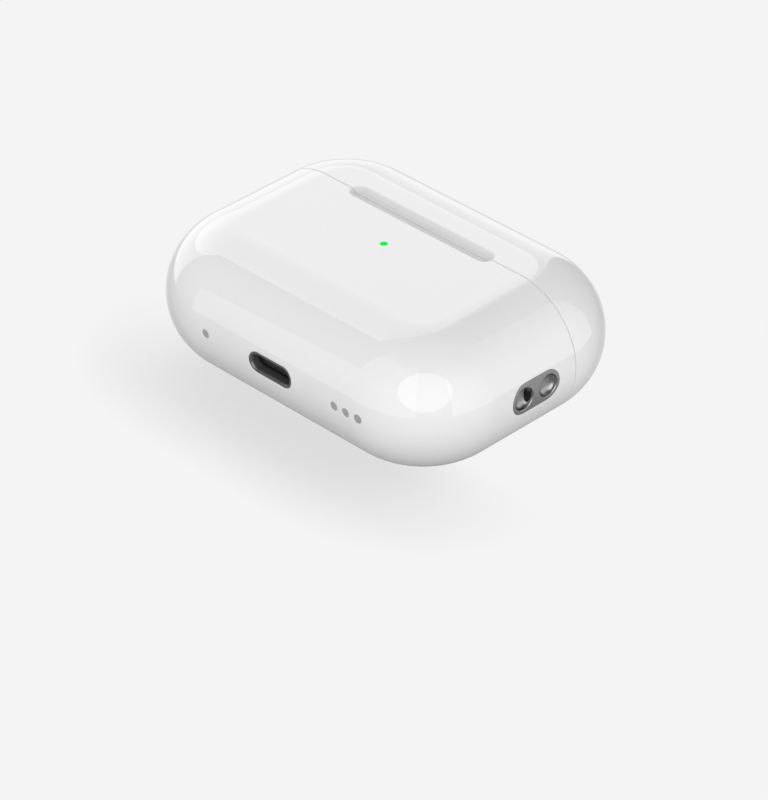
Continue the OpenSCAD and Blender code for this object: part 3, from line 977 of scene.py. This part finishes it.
def foil_pouch(name, color):
    """The cell's crinkled aluminium laminate."""
    made, tree, shade = material(name)
    crease = noise(tree, place_of(tree), 2.2 * MM, 5)
    mottle(tree, shade, crease, color, 0.8, 1.25)
    shade.inputs["Metallic"].default_value = 0.7
    vary_rough(tree, shade, crease, 0.28, 0.42)
    relief(tree, shade, crease, 0.12 * MM)
    return made


def foam(name, color):
    """Closed-cell foam: round pores all over."""
    made, tree, shade = material(name)
    pores = cells(tree, place_of(tree), 0.22 * MM)
    mottle(tree, shade, pores, color, 0.6, 1.8)
    shade.inputs["Roughness"].default_value = 0.95
    relief(tree, shade, pores, 0.05 * MM)
    return made


def woven_mesh(name, color, pitch=0.17 * MM):
    """Fine acoustic mesh: two sets of round threads with dark gaps between them."""
    made, tree, shade = material(name)
    threads = math_node(tree, "MAXIMUM", stripes(tree, 0, pitch), stripes(tree, 2, pitch))
    mottle(tree, shade, threads, color, 0.35, 1.25)
    shade.inputs["Roughness"].default_value = 0.55
    relief(tree, shade, threads, 0.03 * MM)
    return made


def circuit_board(name, color):
    """Solder mask over copper: straight tracks and via dots show through it."""
    made, tree, shade = material(name)
    patches = noise(tree, place_of(tree, (1, 0.2, 1)), 1.5 * MM)
    tracks = math_node(tree, "MULTIPLY", stripes(tree, 0, 0.9 * MM), patches)
    raised = spread(tree, tracks, 0.40, 0.46, 0.0, 1.0)
    vias = spread(tree, cells(tree, place_of(tree), 1.3 * MM), 0.10, 0.14, 1.0, 0.0)
    lifted = math_node(tree, "MAXIMUM", raised, vias)
    mottle(tree, shade, lifted, color, 1.0, 1.9)
    shade.inputs["Roughness"].default_value = 0.35
    relief(tree, shade, lifted, 0.02 * MM)
    return made


def amber_film(name, color):
    """Polyimide film with copper tracks under it."""
    made, tree, shade = material(name)
    tracks = spread(tree, stripes(tree, 0, 0.6 * MM), 0.55, 0.65, 0.0, 1.0)
    mottle(tree, shade, tracks, color, 1.0, 0.6)
    vary_rough(tree, shade, noise(tree, place_of(tree), 1 * MM), 0.2, 0.35)
    relief(tree, shade, tracks, 0.015 * MM)
    return made


def wound_copper(name, color):
    """Enamelled flat wire, with fine drawing marks on it."""
    made, tree, shade = material(name)
    marks = noise(tree, place_of(tree), 0.12 * MM, 3)
    mottle(tree, shade, marks, color, 0.8, 1.15)
    shade.inputs["Metallic"].default_value = 1.0
    shade.inputs["Roughness"].default_value = 0.32
    shade.inputs["Coat Weight"].default_value = 0.6
    relief(tree, shade, marks, 0.004 * MM)
    return made


def lit_lens(name, color):
    """A diffusing lens that glows, with a faint grain in its glow."""
    made, tree, shade = material(name)
    grain = noise(tree, place_of(tree), 0.15 * MM)
    shade.inputs["Roughness"].default_value = 0.25
    shade.inputs["Specular IOR Level"].default_value = 0.0
    mottle(tree, shade, grain, color, 0.01, 0.02)
    glow = blend_colors(tree, grain, color, tint(color, 1.02))
    tree.links.new(glow, shade.inputs["Emission Color"])
    shade.inputs["Emission Strength"].default_value = 1.0
    made.cycles.emission_sampling = "NONE"
    return made


FINISHES = {
    "shell_white": lambda name: moulded(
        name, (0.79, 0.79, 0.79), 0.45, depth=0.0005 * MM, vary=0.01, shine=0.15),
    "cradle_white": lambda name: moulded(name, (0.78, 0.78, 0.78), 0.24, vary=0.02),
    "loop_steel": lambda name: satin_metal(name, (0.31, 0.31, 0.315), 0.27),
    "port_steel": lambda name: satin_metal(name, (0.14, 0.14, 0.145), 0.30, 0.6),
    "hinge_steel": lambda name: brushed(name, (0.62, 0.62, 0.63), 0.20),
    "bare_steel": lambda name: brushed(name, (0.50, 0.50, 0.51), 0.32),
    "screw_steel": lambda name: brushed(name, (0.34, 0.34, 0.35), 0.28, axis=2),
    "magnet_nickel": lambda name: plated(name, (0.66, 0.65, 0.62), 0.16),
    "contact_gold": lambda name: plated(name, (0.86, 0.62, 0.26), 0.18),
    "coil_copper": lambda name: wound_copper(name, (0.72, 0.38, 0.20)),
    "ferrite": lambda name: moulded(name, (0.045, 0.045, 0.048), 0.55, grain=0.4 * MM, depth=0.01 * MM),
    "board_green": lambda name: circuit_board(name, (0.012, 0.09, 0.045)),
    "chip_black": lambda name: moulded(name, (0.025, 0.025, 0.026), 0.45, grain=0.12 * MM, depth=0.006 * MM),
    "flex_amber": lambda name: amber_film(name, (0.55, 0.24, 0.045)),
    "cell_wrap": lambda name: foil_pouch(name, (0.20, 0.205, 0.215)),
    "foam_black": lambda name: foam(name, (0.02, 0.02, 0.02)),
    "gasket_black": lambda name: moulded(name, (0.02, 0.02, 0.02), 0.6, depth=0.004 * MM),
    "port_plastic": lambda name: moulded(name, (0.05, 0.05, 0.052), 0.35),
    "speaker_frame": lambda name: moulded(name, (0.05, 0.05, 0.05), 0.45),
    "mesh_grey": lambda name: woven_mesh(name, (0.37, 0.37, 0.37)),
    "led_lens": lambda name: lit_lens(name, (0.0, 1.0, 0.05)),
    "led_body": lambda name: moulded(name, (0.70, 0.82, 0.66), 0.15, vary=0.02),
}
made_finishes = {}


def finish_for(slot):
    """The material of one of the record's slots, made once."""
    if slot not in made_finishes:
        made_finishes[slot] = FINISHES[slot](slot)
    return made_finishes[slot]


def put(piece, made):
    piece.data.materials.clear()
    piece.data.materials.append(made)


def finish_frame():
    """Gives every CAD node the finish of its slot."""
    for part in frame["record"]["subparts"]:
        put(frame["nodes"][part["node"]], finish_for(part["material_slot"]))


def finish_shell(piece):
    """Polish with its painted reflection outside, a duller moulded finish on the walls inside."""
    data = piece.data
    data.materials.clear()
    data.materials.append(white)
    data.materials.append(finish_for("shell_white"))
    below_groove = GROOVE_D + 0.1 * MM
    for face in data.polygons:
        inside = outward(face.center)[1] < -below_groove
        face.material_index = 1 if inside else 0


# ---------------------------------------------------------------- stage

def make_floor():
    """A pale table whose edge lies under the hinge, so that the open lid can hang beyond it."""
    reach, edge_y, drop = 1.2, -1.0 * MM, 40 * MM
    bend, foot, steps = 3 * MM, 12 * MM, 8
    line = [(-reach, 0.0), (edge_y - bend, 0.0)]
    for k in range(1, steps + 1):
        turn = math.pi / 2 * k / steps
        line.append((edge_y - bend + bend * math.sin(turn), -bend + bend * math.cos(turn)))
    for k in range(steps + 1):
        turn = math.pi / 2 * k / steps
        line.append((edge_y + foot - foot * math.cos(turn), -drop + foot - foot * math.sin(turn)))
    line.append((reach, -drop))
    patches = Patches()
    patches.grid([[(x, y, z) for y, z in line] for x in (-reach, reach)], True)
    piece = new_object("floor", patches.mesh("floor"))
    smooth(piece, 20)
    return piece


def camera_at_photo_angle():
    """The camera's place on a sphere round the case's middle, with the small shifts that frame it."""
    turn, lift, roll = math.radians(45.0), math.radians(34.08), math.radians(-0.12)
    distance, shift_up = 583 * MM, -13.12 * MM
    back = Vector((math.sin(turn) * math.cos(lift), -math.cos(turn) * math.cos(lift), math.sin(lift)))
    right = Vector((math.cos(turn), math.sin(turn), 0))
    up = back.cross(right)
    tilted = right * math.cos(roll) + up * math.sin(roll)
    right, up = tilted, up * math.cos(roll) - right * math.sin(roll)
    data = bpy.data.cameras.new("camera")
    data.sensor_width = 36
    data.lens = 183.78
    data.clip_start = 0.01
    data.clip_end = 20
    camera = bpy.data.objects.new("camera", data)
    bpy.context.scene.collection.objects.link(camera)
    spot = Vector((0, 0, MID_Z)) + back * distance + up * shift_up
    turned = Matrix((right, up, back)).transposed().to_4x4()
    camera.matrix_world = Matrix.Translation(spot) @ turned
    bpy.context.scene.camera = camera


def make_sky():
    """The studio as the world, with an even backdrop for the camera."""
    world = bpy.data.worlds.new("studio")
    bpy.context.scene.world = world
    world.use_nodes = True
    tree = world.node_tree
    studio = Studio(tree, tree.nodes.new("ShaderNodeTexCoord").outputs["Generated"])
    seen = tree.nodes.new("ShaderNodeLightPath").outputs["Is Camera Ray"]
    pick = tree.nodes.new("ShaderNodeMix")
    link(tree, seen, pick.inputs["Factor"])
    link(tree, studio.level(), pick.inputs["A"])
    pick.inputs["B"].default_value = BACKDROP_LEVEL
    sky = tree.nodes["Background"]
    sky.inputs["Color"].default_value = (1, 1, 1, 1)
    link(tree, pick.outputs["Result"], sky.inputs["Strength"])


def make_round_light():
    """The studio's round light on the camera's side, as an area light that faces the case."""
    away = 1.5
    data = bpy.data.lights.new("round_softbox", "AREA")
    data.shape = "DISK"
    data.size = 2 * away * math.tan(math.radians(NEAR_RADIUS))
    data.energy = NEAR_LEVEL * math.pi * math.pi * (data.size / 2) ** 2
    light = bpy.data.objects.new("round_softbox", data)
    bpy.context.scene.collection.objects.link(light)
    toward = direction(NEAR_AZIMUTH, NEAR_ELEVATION)
    light.location = toward * away
    light.rotation_mode = "QUATERNION"
    light.rotation_quaternion = toward.to_track_quat("Z", "Y")


def table_tone(tree, place):
    """The tone that the table returns to the case: darker round it."""
    flat = tree.nodes.new("ShaderNodeVectorMath")
    flat.operation = "MULTIPLY"
    tree.links.new(place, flat.inputs[0])
    flat.inputs[1].default_value = (1, 1, 0)
    away = tree.nodes.new("ShaderNodeVectorMath")
    away.operation = "LENGTH"
    tree.links.new(flat.outputs[0], away.inputs[0])
    share = spread(tree, away.outputs["Value"], 40 * MM, 110 * MM, 0.0, 1.0)
    return blend_colors(tree, share, (0.42, 0.42, 0.42), (0.90, 0.90, 0.90))


def table_glow(tree, place):
    """The level that the camera sees on the table: even, and lower in a painted shadow of the case, drawn from
    ambient occlusion. No shadow is painted where the table ends."""
    around = tree.nodes.new("ShaderNodeAmbientOcclusion")
    around.inputs["Distance"].default_value = 16 * MM
    split = tree.nodes.new("ShaderNodeSeparateXYZ")
    tree.links.new(place, split.inputs[0])
    on_table = spread(tree, split.outputs[1], -26 * MM, -8 * MM, 1.0, 0.0)
    # painted shadow: ambient occlusion lowers the table's glow near the case
    hidden = math_node(tree, "SUBTRACT", 1.0, around.outputs["AO"])
    dark = math_node(tree, "MULTIPLY", hidden, on_table)
    return spread(tree, dark, 0.0, 1.0, 0.88, 0.46)


def floor_white():
    """Pale table top, which glows evenly for the camera, with a painted shadow round the case. Round the case it
    returns less light than it shows, as the dark pad under the real case does."""
    made, tree, shade = material("floor_white")
    place = tree.nodes.new("ShaderNodeNewGeometry").outputs["Position"]
    matt(shade)
    tree.links.new(table_tone(tree, place), shade.inputs["Base Color"])
    even = tree.nodes.new("ShaderNodeBsdfPrincipled")
    matt(even)
    even.inputs["Base Color"].default_value = (0.03, 0.03, 0.03, 1)
    even.inputs["Emission Color"].default_value = (1, 1, 1, 1)
    tree.links.new(table_glow(tree, place), even.inputs["Emission Strength"])
    seen = tree.nodes.new("ShaderNodeLightPath").outputs["Is Camera Ray"]
    mix_shaders(tree, seen, shade, even)
    made.cycles.emission_sampling = "NONE"
    return made


bpy.context.scene.view_settings.view_transform = "Standard"
white = gloss_white()
finish_frame()
finish_shell(make_base_shell())
finish_shell(make_lid_shell())
make_lanyard_loop()
make_port_collar()
make_button()
make_light_lens()
put(make_floor(), floor_white())
make_sky()
make_round_light()
camera_at_photo_angle()
